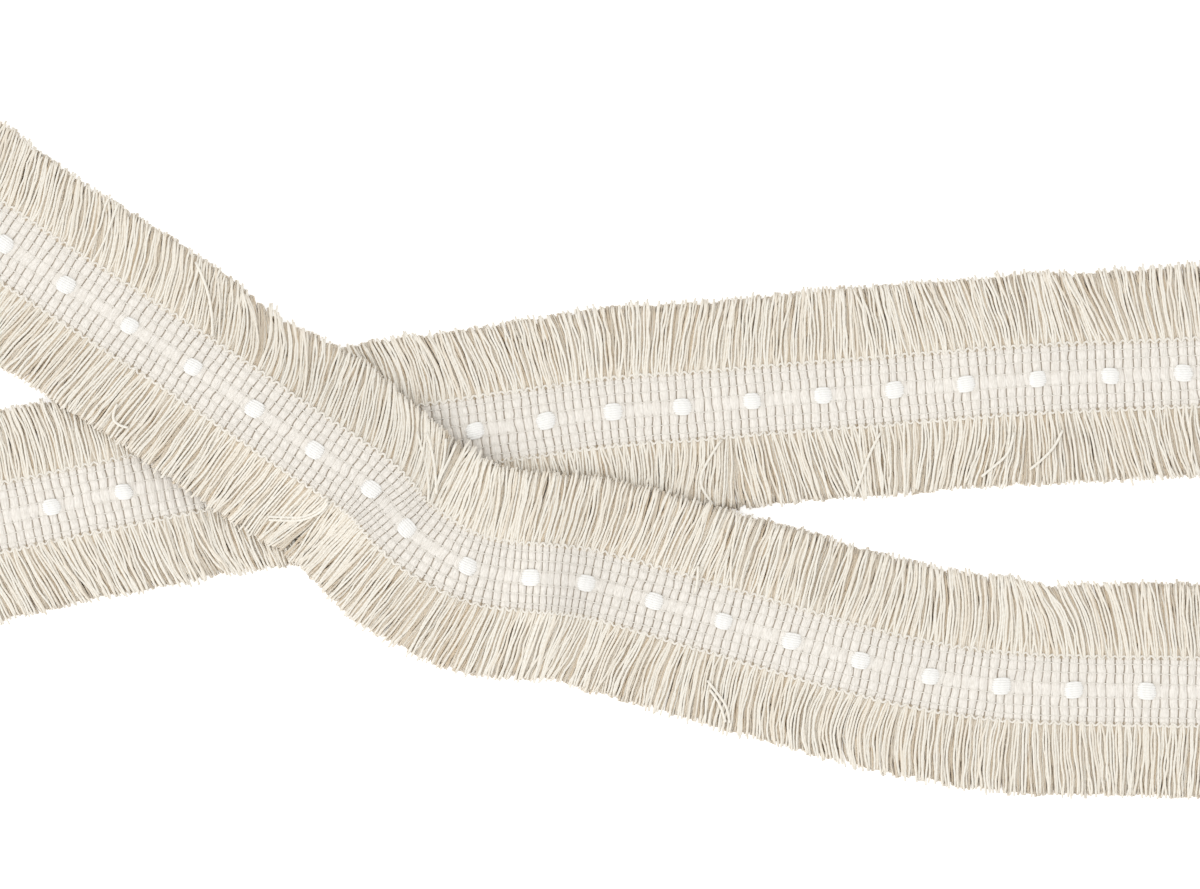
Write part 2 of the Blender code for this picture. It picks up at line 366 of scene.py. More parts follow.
# Single ends that lie across the others: the dot number, and places seen from above.
STRAYS = (
    (31.0, ((-74.8, 8.1), (-75.8, 5.6), (-75.8, 3.8), (-74.1, 2.2), (-71.7, 1.5))),
    (
        35.5,
        ((-16.1, -17.7), (-17.4, -19.9), (-20.2, -22.0), (-23.5, -23.2), (-27.7, -23.3), (-33.0, -23.1)),
    ),
    (
        35.6,
        ((-16.0, -18.8), (-17.7, -21.2), (-19.9, -22.7), (-23.5, -24.0), (-27.7, -24.2), (-32.8, -24.0)),
    ),
    (36.9, ((11.4, -19.0), (11.4, -12.6), (10.2, -6.7), (8.3, 0.4))),
    (37.0, ((13.7, -16.9), (13.4, -11.6), (12.2, -4.0), (11.1, 0.0))),
    (37.0, ((11.8, -19.5), (14.0, -13.6), (15.5, -8.8), (16.3, -1.5))),
    (37.1, ((12.2, -19.8), (14.7, -12.5), (17.3, -7.1), (19.2, -2.8))),
    (4.3, ((136.8, 0.0), (133.6, -6.3), (130.9, -13.8), (129.6, -17.0))),
    (1.9, ((187.3, 0.9), (185.4, -3.0), (182.6, -6.4), (178.2, -10.1))),
    (2.6, ((173.7, 0.3), (172.0, -5.6), (168.2, -9.3), (164.8, -12.1))),
    (33.0, ((-48.4, 26.8), (-48.7, 33.0), (-50.2, 40.4), (-53.2, 47.5))),
    (41.6, ((88.8, -68.6), (91.4, -72.0), (93.9, -75.7), (94.9, -80.4))),
    (41.6, ((89.4, -71.1), (92.0, -74.9), (93.8, -80.2))),
    (6.5, ((92.6, -1.9), (88.6, -8.3), (86.9, -13.0), (90.3, -19.7))),
    (41.2, ((85.4, -44.4), (86.0, -40.8), (86.2, -36.9))),
)
STRAY_RINGS = 14
STRAY_SIDES = 6
STRAY_HEIGHT = 1.9
STRAY_RADIUS = 0.42


class Layer(NamedTuple):
    """One layer of a fringe."""

    word: str
    seed: int
    strands_per_rib: float
    radius: float
    # Where the rings of a strand lie, as shares of its length, and how many sides it has.
    steps: tuple
    sides: int
    # The lowest and the highest middle of a strand, over what the fringe lies on.
    low: float
    high: float
    # 0 is the yarn's darker colour and 1 its light one. A layer that lies under the others has a low
    # tone, as painted shade.
    tone: float
    tone_spread: float
    # Laid in a bunch for every rib, or evenly. A bunch starts out narrower by this share.
    bunched: bool
    gather: float
    # How much of the differences between strands it has, and how much shorter it is.
    looseness: float
    shorter: float


UPPER = Layer(
    word="top",
    seed=0,
    strands_per_rib=3.0,
    radius=0.36,
    steps=(0.0, 0.05, 0.11, 0.19, 0.29, 0.4, 0.51, 0.62, 0.73, 0.83, 0.92, 1.0),
    sides=6,
    low=1.15,
    high=1.6,
    tone=0.9,
    tone_spread=0.12,
    bunched=True,
    gather=0.6,
    looseness=1.0,
    shorter=0.0,
)
UNDER = Layer(
    word="base",
    seed=50,
    strands_per_rib=7.8,
    radius=0.5,
    steps=(0.0, 0.08, 0.2, 0.35, 0.52, 0.7, 0.86, 1.0),
    sides=3,
    low=0.45,
    high=0.95,
    # A low tone: painted shade for the layer that lies underneath.
    tone=0.42,
    tone_spread=0.26,
    bunched=False,
    gather=0.12,
    looseness=0.5,
    shorter=0.8,
)

# How many values a random line has before it repeats.
WANDER_VALUES = 6000


class Wander(NamedTuple):
    """A smooth random line that strays up to its size from 0, with a new value every spacing."""

    size: float
    spacing: float
    seed: int

    def at(self, places, seed=0):
        """Its values at these places. The seed is added to its own."""
        values = np.random.RandomState(self.seed + seed).uniform(-1, 1, WANDER_VALUES)
        cells = np.asarray(places, float) / self.spacing
        first = np.floor(cells).astype(int)
        share = cells - first
        share = share * share * (3 - 2 * share)
        left, right = values[first % WANDER_VALUES], values[(first + 1) % WANDER_VALUES]
        return self.size * (left * (1 - share) + right * share)


# Across the tape, in millimetres.
GROOVE_STRAY = Wander(0.28, 2.7, 5)
GROOVE_UNEVEN = Wander(0.15, 3.0, 9)
# Along the tape, with spacings in ribs. Seeds of the yarn's lines are added to their layer's.
BAND_UNEVEN = Wander(0.5, 1.0, 8)
WARP_STRAY = Wander(0.16, 2.5, 0)
CORD_REACH = Wander(0.12, 1.3, 21)
CORD_PLACE = Wander(0.05, 1.0, 31)
CORD_THICKER = Wander(0.12, 0.6, 41)
YARN_BUNCH = Wander(5.0, 1.8, 1)
YARN_DRIFT = Wander(2.4, 6.0, 2)
YARN_LENGTH = Wander(0.55, 2.4, 6)
YARN_CURL = Wander(3.0, 1.4, 7)
YARN_BEND = Wander(4.0, 2.5, 8)


def unit(degrees):
    """The direction at this angle, seen from above."""
    return np.array([math.cos(math.radians(degrees)), math.sin(math.radians(degrees))])


def loop_rows():
    """Rows like the strands' for the loop between them: straight on, round an arc, straight on."""
    first, last = UNDER_STRAND[-1], OVER_STRAND[0]
    into, out = unit(HEADING_INTO_LOOP), unit(HEADING_OUT_OF_LOOP)
    start, end = np.array(first[1:]), np.array(last[1:])
    before, after = np.linalg.solve(np.column_stack([into, out]), end - start)
    crossing = start + into * before
    turn = math.radians(HEADING_INTO_LOOP - HEADING_OUT_OF_LOOP)
    tangent_share = 1 / math.tan((turn - math.pi) / 2)
    length = (last[0] - first[0]) * DOT_PITCH
    radius = (length - before - after) / (2 * tangent_share + turn)
    tangent = radius * tangent_share
    straight = tangent + before
    centre = crossing + into * tangent + unit(HEADING_INTO_LOOP - 90) * radius
    rows = []
    for dot in range(int(first[0]) + 1, int(last[0])):
        along = (dot - first[0]) * DOT_PITCH - straight
        if along < 0:
            place = crossing + into * (tangent + along)
        elif along > radius * turn:
            place = crossing - out * (tangent - (along - radius * turn))
        else:
            place = centre + unit(HEADING_INTO_LOOP + 90 - math.degrees(along / radius)) * radius
        rows.append((dot, *place))
    return rows


def spline(knots, values, at):
    """A natural cubic spline through the values at the knots, read at each place."""
    step = np.diff(knots)
    system = np.eye(len(knots))
    target = np.zeros_like(values)
    for i in range(1, len(knots) - 1):
        system[i, i - 1 : i + 2] = step[i - 1], 2 * (step[i - 1] + step[i]), step[i]
        rise = (values[i + 1] - values[i]) / step[i]
        target[i] = 6 * (rise - (values[i] - values[i - 1]) / step[i - 1])
    bend = np.linalg.solve(system, target)
    i = np.clip(np.searchsorted(knots, at) - 1, 0, len(step) - 1)
    h = step[i][:, None]
    done = (at - knots[i])[:, None]
    left = (knots[i + 1] - at)[:, None]
    cubic = (bend[i] * left**3 + bend[i + 1] * done**3) / (6 * h)
    from_left = (values[i] / h - bend[i] * h / 6) * left
    from_right = (values[i + 1] / h - bend[i + 1] * h / 6) * done
    return cubic + from_left + from_right


def eased(rows, at):
    """A table's second column at a place in its first, with a level crest or trough at each row."""
    knots, values = np.array(rows).T
    i = np.clip(np.searchsorted(knots, at) - 1, 0, len(knots) - 2)
    share = np.clip((at - knots[i]) / (knots[i + 1] - knots[i]), 0, 1)
    return values[i] + (values[i + 1] - values[i]) * share * share * (3 - 2 * share)


class Route:
    """Where the trim lies: its middle, its headings, and how high it rides."""

    FINE_STEP = 0.02
    LOOP_MIDDLE = 23.0
    UNDER_LAST = 18.5
    UNDER_STEP = 0.1
    AT_ONCE = 4000

    def __init__(self):
        rows = np.array([*UNDER_STRAND, *loop_rows(), *OVER_STRAND])
        self.knots, self.places = rows[:, 0], rows[:, 1:] - CENTRE
        self.under = self.middle(np.arange(FIRST_END, self.UNDER_LAST, self.UNDER_STEP))

    def middle(self, dots):
        """The places of the trim's middle, seen from above."""
        return spline(self.knots, self.places, np.asarray(dots, float))

    def along(self, dots):
        """The level direction of the trim."""
        dots = np.asarray(dots, float)
        way = self.middle(dots + self.FINE_STEP) - self.middle(dots - self.FINE_STEP)
        return way / np.linalg.norm(way, axis=1)[:, None]

    def across(self, dots):
        """The level direction from the middle to the outer edge."""
        way = self.along(dots)
        return np.column_stack([-way[:, 1], way[:, 0]])

    def lift(self, dots, places):
        """How high the over strand has to be to clear the under strand at these places."""
        high = np.zeros(len(places))
        over = np.flatnonzero(np.asarray(dots) > self.LOOP_MIDDLE)
        knots, heights = np.array(LIFT).T
        for some in np.array_split(over, max(1, len(over) // self.AT_ONCE)):
            apart = np.linalg.norm(places[some, None, :] - self.under[None, :, :], axis=2)
            high[some] = np.interp(apart.min(axis=1), knots, heights)
        return high

    def waves(self, dots):
        """The height of the waves in the trim."""
        return eased(WAVES, np.asarray(dots, float))

    def on_tape(self, dots, across):
        """Points of the tape's underside, this far from its middle."""
        dots, across = np.broadcast_arrays(np.asarray(dots, float), np.asarray(across, float))
        places = self.middle(dots) + self.across(dots) * across[:, None]
        heights = np.hypot(self.waves(dots), self.lift(dots, places))
        return np.column_stack([places, heights])


def mesh_object(name, points, faces, facts):
    """A smooth object of these points, in millimetres. facts are the point attributes it carries."""
    mesh = bpy.data.meshes.new(name)
    mesh.from_pydata(points * MM, [], faces)
    mesh.shade_smooth()
    for key, values in facts.items():
        kind, slot = ("FLOAT", "value") if values.ndim == 1 else ("FLOAT_VECTOR", "vector")
        made = mesh.attributes.new(key, kind, "POINT")
        made.data.foreach_set(slot, np.ascontiguousarray(values, np.float32).ravel())
    made = bpy.data.objects.new(name, mesh)
    bpy.context.scene.collection.objects.link(made)
    return made


def thread_object(name, strands):
    """An object of strands, as tubes() gives them, in the light colour of their yarn."""
    points, faces, turn = strands
    return mesh_object(name, points, faces, {"turn": turn, "tone": np.ones(len(points))})


def sharp_ends(piece, ring):
    """Makes the edges round the first and the last ring of points sharp, as where cloth is cut."""
    mesh = piece.data
    pairs = np.empty(len(mesh.edges) * 2, np.int32)
    mesh.edges.foreach_get("vertices", pairs)
    pairs = pairs.reshape(-1, 2)
    at_end = (pairs < ring).all(axis=1) | (pairs >= len(mesh.vertices) - ring).all(axis=1)
    made = mesh.attributes.new("sharp_edge", "BOOLEAN", "EDGE")
    made.data.foreach_set("value", at_end)


def tube_faces(strands, rings, sides):
    """The faces of strands that lie one after another in a list of points, with their ends closed."""
    ring = np.arange(rings - 1)[:, None] * sides
    side = np.arange(sides)[None, :]
    after = (side + 1) % sides
    quads = np.stack([ring + side, ring + after, ring + sides + after, ring + sides + side], axis=-1)
    quads = quads.reshape(-1, 4)
    start = np.arange(strands)[:, None, None] * rings * sides
    faces = (quads[None] + start).reshape(-1, 4).tolist()
    first = np.arange(sides)[::-1]
    last = np.arange(sides) + (rings - 1) * sides
    for cap in (first, last):
        faces += (cap[None] + start[:, 0]).tolist()
    return faces


def tubes(paths, radii, sides, flatness=1.0):
    """Strands along paths (strand, ring, x y z): their points, faces and coordinates round them."""
    strands, rings = paths.shape[:2]
    radii = np.broadcast_to(radii, (strands, rings))
    ways = np.gradient(paths, axis=1)
    ways /= np.linalg.norm(ways, axis=2)[..., None]
    level = np.stack([-ways[..., 1], ways[..., 0], np.zeros((strands, rings))], axis=-1)
    level /= np.linalg.norm(level, axis=2)[..., None]
    up = np.cross(ways, level)
    turns = (np.arange(sides) / sides + 0.25) * 2 * math.pi
    out = level[:, :, None, :] * -np.cos(turns)[None, None, :, None]
    out = out + up[:, :, None, :] * (np.sin(turns) * flatness)[None, None, :, None]
    points = paths[:, :, None, :] + out * radii[:, :, None, None]
    steps = np.linalg.norm(np.diff(paths, axis=1), axis=2)
    length = np.concatenate([np.zeros((strands, 1)), np.cumsum(steps, axis=1)], axis=1)
    round_it = np.empty((strands, rings, sides, 3))
    round_it[..., 0] = np.cos(turns)
    round_it[..., 1] = np.sin(turns)
    round_it[..., 2] = length[:, :, None]
    return points.reshape(-1, 3), tube_faces(strands, rings, sides), round_it.reshape(-1, 3)


def rib_dots(ribs):
    """The dot number of a place counted in ribs from the first groove."""
    return FIRST_GROOVE + np.asarray(ribs, float) / RIBS_PER_DOT


def dot_ribs(dots):
    """The place in ribs from the first groove of a place counted in dots."""
    return (dots - FIRST_GROOVE) * RIBS_PER_DOT


def arches(ribs):
    """1 over the grooves, where the edge cord arches out, and 0 in the middle of the ribs."""
    return 0.5 + 0.5 * np.cos(2 * math.pi * ribs)


def groove_shift(ribs, across):
    """How far a groove strays along the trim, in ribs, at this distance from the middle."""
    return GROOVE_STRAY.at(across + SHIFT_APART * np.round(ribs)) / RIB_PITCH


def groove_share(ribs, across):
    """How open a groove is: shallow in the band between dots, and a little uneven elsewhere."""
    number = np.round(ribs)
    left = np.clip(CENTRE_BAND_OPEN + BAND_UNEVEN.at(number), 0, 1)
    band = 1 / (1 + (np.abs(across) / CENTRE_BAND) ** CENTRE_BAND_POWER)
    uneven = GROOVE_OPEN + GROOVE_UNEVEN.at(across + OPEN_APART * number)
    return (1 - band * (1 - left)) * uneven


def tape_heights(ribs, across, depth, is_top):
    """How high the tape's points are over the underside of its solid."""
    crown = RIB_CROWN * np.sin(math.pi * (ribs % 1.0)) ** CROWN_POWER
    edge = np.clip((np.abs(across) - EDGE_THIN_FROM) / EDGE_THIN_WIDTH, 0, 1)
    top = RIB_FOOT - GROOVE_DEPTH * depth + crown - EDGE_THINNER * edge**2
    return np.where(is_top, top, UNDERSIDE + GROOVE_DEPTH_UNDER * depth)


def tape_faces(columns, rows):
    """The faces of a band whose points go round it column by column, with its ends closed."""
    column = np.arange(columns - 1)[:, None] * rows
    row = np.arange(rows)[None, :]
    after = (row + 1) % rows
    quads = np.stack([column + row, column + rows + row, column + rows + after, column + after], axis=-1)
    last = range((columns - 1) * rows, columns * rows)
    return quads.reshape(-1, 4).tolist() + [list(range(rows)), list(last)[::-1]]


def tape(route):
    """The woven band, closed all round: ribs and grooves on top, and plainer ones underneath."""
    samples, depths = np.array(RIB_SAMPLES).T
    ribs = (np.arange(RIB_COUNT)[:, None] + samples).ravel()
    ribs = np.concatenate([[dot_ribs(FIRST_END)], ribs, [RIB_COUNT, dot_ribs(LAST_END)]])
    depths = np.concatenate([[DEPTH_AT_CUT], np.tile(depths, RIB_COUNT), [1.0, DEPTH_AT_CUT]])
    top = [*TAPE_ROWS_TOP, *(-row for row in TAPE_ROWS_TOP[-2::-1])]
    rows = np.array([*top, *TAPE_ROWS_UNDER])
    is_top = np.arange(len(rows)) < len(top)

    ribs_at = np.repeat(ribs, len(rows))
    across = np.tile(rows, len(ribs))
    depth = np.repeat(depths, len(rows)) * groove_share(ribs_at, across)
    scallop = np.clip((np.abs(across) - EDGE_SCALLOP_FROM) / EDGE_SCALLOP_WIDTH, 0, 1) * arches(ribs_at)
    reach = across + np.sign(across) * scallop * (CORD_ARCH - CORD_VALLEY) * EDGE_SCALLOP
    points = route.on_tape(rib_dots(ribs_at + groove_shift(ribs_at, across)), reach)
    points[:, 2] += tape_heights(ribs_at, across, depth, np.tile(is_top, len(ribs)))

    # Its material reads the weave for the grain and for the painted shade and bump of the creases, and
    # the hollow for the painted shade in the grooves.
    weave = np.column_stack([ribs_at * RIB_PITCH, across, eased(PINCH, rib_dots(ribs_at))])
    faces = tape_faces(len(ribs), len(rows))
    made = mesh_object("woven_tape", points, faces, {"weave": weave, "hollow": depth})
    sharp_ends(made, len(rows))
    return made


def warp_threads(route):
    """Fine threads that run along the tape, over the ribs and across the grooves."""
    number = np.arange(RIB_COUNT * WARP_STEPS + 1)
    ribs = number / WARP_STEPS
    dip = np.where(number % WARP_STEPS == 0, WARP_DIP, 0.0)
    paths = []
    for row in (*WARP_ROWS, *(-row for row in WARP_ROWS)):
        across = row + WARP_STRAY.at(ribs, int(row * 100) % WARP_SEEDS)
        points = route.on_tape(rib_dots(ribs), across)
        points[:, 2] += RIB_FOOT + RIB_CROWN - WARP_SUNK - dip
        paths.append(points)
    return thread_object("warp_threads", tubes(np.array(paths), WARP_RADIUS, WARP_SIDES, WARP_FLATNESS))


def edge_cord(name, route, side):
    """The cord along an edge: it arches over each groove and dips where the yarn comes out."""
    ribs = np.arange(RIB_COUNT * CORD_STEPS + 1) / CORD_STEPS
    arch = arches(ribs)
    reach = CORD_VALLEY + (CORD_ARCH - CORD_VALLEY) * arch**CORD_ARCH_POWER + CORD_REACH.at(ribs, side)
    points = route.on_tape(rib_dots(ribs + CORD_PLACE.at(ribs, side)), side * reach)
    points[:, 2] += CORD_HEIGHT + CORD_VALLEY_RISE * (1 - arch)
    radii = CORD_RADIUS * (1 + CORD_THICKER.at(ribs, side))
    return thread_object(name, tubes(points[None], radii[None], CORD_SIDES))


def dots(route):
    """Every dot is a pad of white floats that lie side by side along the tape."""
    chance = np.random.RandomState(DOT_SEED)
    share = np.linspace(-1, 1, FLOAT_STEPS + 1)
    closer = 1 - FLOAT_END_CLOSER * share**2
    paths = []
    for number in range(DOT_COUNT):
        way, across = route.along([number])[0], route.across([number])[0]
        way = way + across * chance.uniform(-DOT_LEAN_SPREAD, DOT_LEAN_SPREAD)
        behind, middle, ahead = route.on_tape([number - SLOPE_STEP, number, number + SLOPE_STEP], 0.0)
        slope = (ahead[2] - behind[2]) / (2 * SLOPE_STEP * DOT_PITCH)
        size = 1 + chance.uniform(-DOT_SIZE_SPREAD, DOT_SIZE_SPREAD)
        for at in np.linspace(-1, 1, FLOATS_PER_DOT):
            half = DOT_LONG / 2 * size * (1 - OUTER_FLOAT_SHORTER * abs(at) ** 3)
            half += chance.uniform(-FLOAT_LENGTH_SPREAD, FLOAT_LENGTH_SPREAD)
            aside = at * (DOT_WIDE / 2 - FLOAT_RADIUS) * size
            reach = share * half
            rise = (1 - np.abs(share) ** FLOAT_ROUNDNESS) * DOT_HIGH * (1 - OUTER_FLOAT_LOWER * at**2)
            place = middle[:2] + way * reach[:, None] + across * (aside * closer)[:, None]
            paths.append(np.column_stack([place, middle[2] + slope * reach + DOT_BASE + rise]))
    radii = FLOAT_RADIUS * (1 - FLOAT_END_THINNER * share**4)
    return thread_object("dot_floats", tubes(np.array(paths), radii, FLOAT_SIDES))


class Yarn:
    """The cut ends along one edge of the tape."""

    def __init__(self, route, side):
        self.route, self.side = route, side
        self.rows = np.array(INNER_WAYS if side == INNER else OUTER_WAYS, float)
        dots, inner, outer = np.array(FRINGE_LENGTHS).T
        self.length_knots = dots
        self.lengths = inner if side == INNER else outer

    def way(self, dots, share):
        """The angle of the yarn at this share of its length."""
        knots, root, middle, tip = self.rows.T
        start = np.interp(dots, knots, root)
        halfway = np.interp(dots, knots, middle)
        end = np.interp(dots, knots, tip)
        straight = self.route.across(dots) * self.side
        square = np.degrees(np.arctan2(straight[:, 1], straight[:, 0]))
        square = start + (square - start + 180) % 360 - 180
        ways = np.stack([ROOT_SQUARE * square + (1 - ROOT_SQUARE) * start, start, halfway, end, end])
        i = min(np.searchsorted(WAY_STOPS, share, side="right") - 1, len(WAY_STOPS) - 2)
        part = (share - WAY_STOPS[i]) / (WAY_STOPS[i + 1] - WAY_STOPS[i])
        return ways[i] + (ways[i + 1] - ways[i]) * part

    def partings(self, roots):
        """How far the yarn leans away from the gaps."""
        lean = np.zeros(len(roots))
        for side, dot, degrees in PARTINGS:
            if side == self.side:
                ribs = roots - dot_ribs(dot)
                lean -= side * degrees * np.sign(ribs) * np.exp(-np.abs(ribs) / PARTING_WIDTH)
        return lean

    def paths(self, layer, roots, aside, heights, lean, curl, longer, seed):
        """Paths (strand, ring, x y z) of yarn from these places, counted in ribs along the edge."""
        chance = np.random.RandomState(seed)
        count = len(roots)
        dots = rib_dots(roots)
        length = np.interp(dots, self.length_knots, self.lengths) + longer + ROOT_INSIDE
        across, along = self.route.across(dots), self.route.along(dots)
        place = self.route.middle(dots) + across * self.side * (TAPE_WIDTH / 2 - ROOT_INSIDE)
        waves = self.route.waves(dots)
        lean = lean + layer.gather * YARN_BUNCH.at(roots, seed) + YARN_DRIFT.at(roots, seed)
        lean = lean + layer.gather * PARTING_IN_BUNCH * self.partings(roots)
        bend = YARN_BEND.at(roots, seed)
        phase = chance.uniform(0, 2 * math.pi, count)
        pace = chance.uniform(*SWAY_WAVES, count)
        size = chance.uniform(*SWAY_SIZES, count)
        root_heights = ROOT_HEIGHT + ROOT_LAYERING * heights
        made = np.empty((count, len(layer.steps), 3))
        before = 0.0
        for ring, share in enumerate(layer.steps):
            halfway = (share + before) / 2
            turned = lean * min(1, LEAN_AT_ROOT + halfway) + curl * halfway
            turned += bend * math.sin(2 * math.pi * halfway)
            angle = np.radians(self.way(dots, halfway) + turned)
            way = np.column_stack([np.cos(angle), np.sin(angle)])
            place = place + way * (length * (share - before))[:, None]
            spread = 1 - layer.gather * (1 - min(1.0, share / SPREAD_BY))
            sway = size * math.sqrt(share) * np.sin(phase + pace * share * 2 * math.pi)
            spot = place + along * (aside * spread + sway)[:, None]
            under = np.hypot(waves * (1 - share) ** DROOP, self.route.lift(dots, spot))
            rise = min(1.0, share / RISE_BY)
            made[:, ring, :2] = spot
            made[:, ring, 2] = under + root_heights * (1 - rise) + heights * rise
            before = share
        return made


def fanned(paths, per_rib):
    """How far the strands (strand, ring, x y z) have spread from their places at the tape, or 1."""
    reach = int(FAN_RIBS * per_rib)
    apart = np.linalg.norm(paths[2 * reach :, :, :2] - paths[: -2 * reach, :, :2], axis=2)
    spread = apart * per_rib / (2 * reach * RIB_PITCH)
    spread = np.pad(spread, ((reach, reach), (0, 0)), mode="edge")
    return np.clip(spread, 1.0, FAN_MOST)


def yarn_layer(name, route, side, layer, fringe_seed):
    """One layer of a fringe."""
    seed = fringe_seed + layer.seed
    chance = np.random.RandomState(seed)
    count = int(RIB_COUNT * layer.strands_per_rib)
    place = (np.arange(count) + 0.5) / layer.strands_per_rib
    aside = chance.uniform(-ASIDE_SPREAD, ASIDE_SPREAD, count) * layer.looseness
    if layer.bunched:
        inside = place % 1.0 - 0.5
        place = np.floor(place) + 0.5
        aside += inside * RIB_PITCH
    heights = chance.uniform(layer.low, layer.high, count)
    lean = chance.normal(0, LEAN_SPREAD, count) * layer.looseness
    curl = (chance.normal(0, CURL_SPREAD, count) + YARN_CURL.at(place, seed)) * layer.looseness
    stray = chance.uniform(0, 1, count) < STRAY_SHARE
    lean = np.where(stray, lean * STRAY_LEAN, lean)
    heights = np.where(stray, layer.high + STRAY_ABOVE, heights)
    longer = chance.normal(0, LENGTH_SPREAD, count) + YARN_LENGTH.at(place, seed) - layer.shorter
    paths = Yarn(route, side).paths(layer, place, aside, heights, lean, curl, longer, seed + PATHS_SEED)

    radii = layer.radius * (1 + chance.uniform(-RADIUS_SPREAD, RADIUS_SPREAD, count))[:, None]
    radii = radii * np.ones(len(layer.steps))
    radii[:, -1] *= TIP_RADIUS
    if not layer.bunched:
        radii = radii * fanned(paths, layer.strands_per_rib)
    points, faces, turn = tubes(paths, radii, layer.sides)
    shade = np.clip(layer.tone + chance.normal(0, layer.tone_spread, count), 0, 1)
    points_each = len(layer.steps) * layer.sides
    turn[:, 2] += np.repeat(chance.uniform(0, TWIST_STARTS, count), points_each)
    share = np.tile(np.repeat(layer.steps, layer.sides), count)
    facts = {"turn": turn, "tone": np.repeat(shade, points_each), "share": share}
    return mesh_object(name, points, faces, facts)


def stray_yarn(route):
    """Single ends of yarn that lie across the fringe."""
    paths = []
    for dot, corners in STRAYS:
        corners = np.array(corners)
        steps = np.linalg.norm(np.diff(corners, axis=0), axis=1)
        lengths = np.concatenate([[0.0], np.cumsum(steps)])
        even = np.linspace(0, lengths[-1], STRAY_RINGS)
        places = spline(lengths, corners, even)
        wave = route.waves([dot])[0] * (1 - even / lengths[-1]) ** DROOP
        heights = np.hypot(wave, route.lift(np.full(STRAY_RINGS, dot), places)) + STRAY_HEIGHT
        paths.append(np.column_stack([places, heights]))
    points, faces, turn = tubes(np.array(paths), STRAY_RADIUS, STRAY_SIDES)
    facts = {"turn": turn, "tone": np.ones(len(points)), "share": np.zeros(len(points))}
    return mesh_object("stray_yarn", points, faces, facts)


class Nodes:
    """A short way to write a material's nodes."""

    def __init__(self, name):
        self.material = bpy.data.materials.new(name)
        self.material.use_nodes = True
        self.tree = self.material.node_tree
        self.shader = self.tree.nodes["Principled BSDF"]

    def add(self, kind, **values):
        made = self.tree.nodes.new(kind)
        for key, value in values.items():
            setattr(made, key, value)
        return made

    def feed(self, socket, value):
        """Sets a socket, or links another node's output to it."""
        if isinstance(value, bpy.types.NodeSocket):
            self.tree.links.new(value, socket)
        else:
            socket.default_value = value

    def attribute(self, name, output="Fac"):
        return self.add("ShaderNodeAttribute", attribute_name=name).outputs[output]

    def parts(self, vector):
        """The vector's X, Y and Z."""
        made = self.add("ShaderNodeSeparateXYZ")
        self.feed(made.inputs[0], vector)
        return made.outputs

    def math(self, operation, *values, clamp=False):
        made = self.add("ShaderNodeMath", operation=operation, use_clamp=clamp)
        for socket, value in zip(made.inputs, values):
            self.feed(socket, value)
        return made.outputs[0]

    def line(self, value, times, plus, clamp=False):
        """The value times one number, plus another."""
        return self.math("MULTIPLY_ADD", value, times, plus, clamp=clamp)

    def mix(self, share, first, second):
        """The first colour, with this share of the second."""
        made = self.add("ShaderNodeMix", data_type="RGBA")
        colours = [socket for socket in made.inputs if socket.type == "RGBA"]
        self.feed(made.inputs["Factor"], share)
        self.feed(colours[0], first)
        self.feed(colours[1], second)
        return next(socket for socket in made.outputs if socket.type == "RGBA")

    def noise(self, vector, stretch, detail):
        """A noise with a grain of one unit, read at the vector times the stretch."""
        scaled = self.add("ShaderNodeVectorMath", operation="MULTIPLY")
        self.feed(scaled.inputs[0], vector)
        scaled.inputs[1].default_value = stretch
        made = self.add("ShaderNodeTexNoise")
        self.feed(made.inputs["Vector"], scaled.outputs[0])
        made.inputs["Scale"].default_value = 1.0
        made.inputs["Detail"].default_value = detail
        made.inputs["Roughness"].default_value = 0.5
        return made.outputs["Fac"]

    def bump(self, height, distance):
        made = self.add("ShaderNodeBump")
        made.inputs["Distance"].default_value = distance
        made.inputs["Strength"].default_value = 1.0
        self.feed(made.inputs["Height"], height)
        self.feed(self.shader.inputs["Normal"], made.outputs["Normal"])

    def finish(self, colour, roughness, sheen):
        self.feed(self.shader.inputs["Base Color"], colour)
        self.feed(self.shader.inputs["Roughness"], roughness)
        self.shader.inputs["Sheen Weight"].default_value = sheen
        self.shader.inputs["Sheen Roughness"].default_value = SHEEN_ROUGHNESS
        self.shader.inputs["Specular IOR Level"].default_value = SPECULAR
        return self.material


# Colours, as red, green, blue and alpha.
TAPE_LIGHT = (0.775, 0.738, 0.682, 1)
TAPE_DARK = (0.675, 0.635, 0.575, 1)
# Painted shade in the grooves, mixed in by their depth.
GROOVE_PAINTED_SHADE = (0.31, 0.245, 0.175, 1)
YARN_LIGHT = (0.775, 0.755, 0.695, 1)
# The yarn's darker colour: painted shade for the lower layer, the sides and the plies, and a darker tone
# among the fibres.
YARN_SHADE_AND_DARK = (0.635, 0.53, 0.395, 1)
YARN_TIP = (0.72, 0.66, 0.57, 1)
# Painted shade where the yarn leaves the tape, between the bunches.
YARN_ROOT_SHADE = (0.43, 0.34, 0.235, 1)
THREAD_LIGHT = (0.75, 0.71, 0.64, 1)
DOT_WHITE = (0.80, 0.79, 0.765, 1)
DOT_SHADE = (0.70, 0.685, 0.65, 1)
FLOOR_WHITE = (0.92, 0.92, 0.92, 1)
SHEEN_ROUGHNESS = 0.5
SPECULAR = 0.25

# The tape: how fine the grain of its threads is along it, across it and where it is pinched, and how
# much each of them counts. A pair is what a value is multiplied by, and what is then added.
THREAD_GRAIN = (3.4, 0.6, 1.0)
CROSSING_GRAIN = (1.0, 3.0, 1.0)
THREAD_WEIGHT = 0.8
CROSSING_WEIGHT = 0.2
WEAVE_CONTRAST = (4.2, -1.6)
GROOVE_CONTRAST = (1.5, -0.35)
# How much painted shade, and how much bump, the creases beside the warp threads get.
PINCH_PAINTED_SHADE = -0.5
PINCH_BUMP = -0.6
WEAVE_BUMP = 0.0003
TAPE_ROUGHNESS = (0.2, 0.75)
TAPE_SHEEN = 0.15
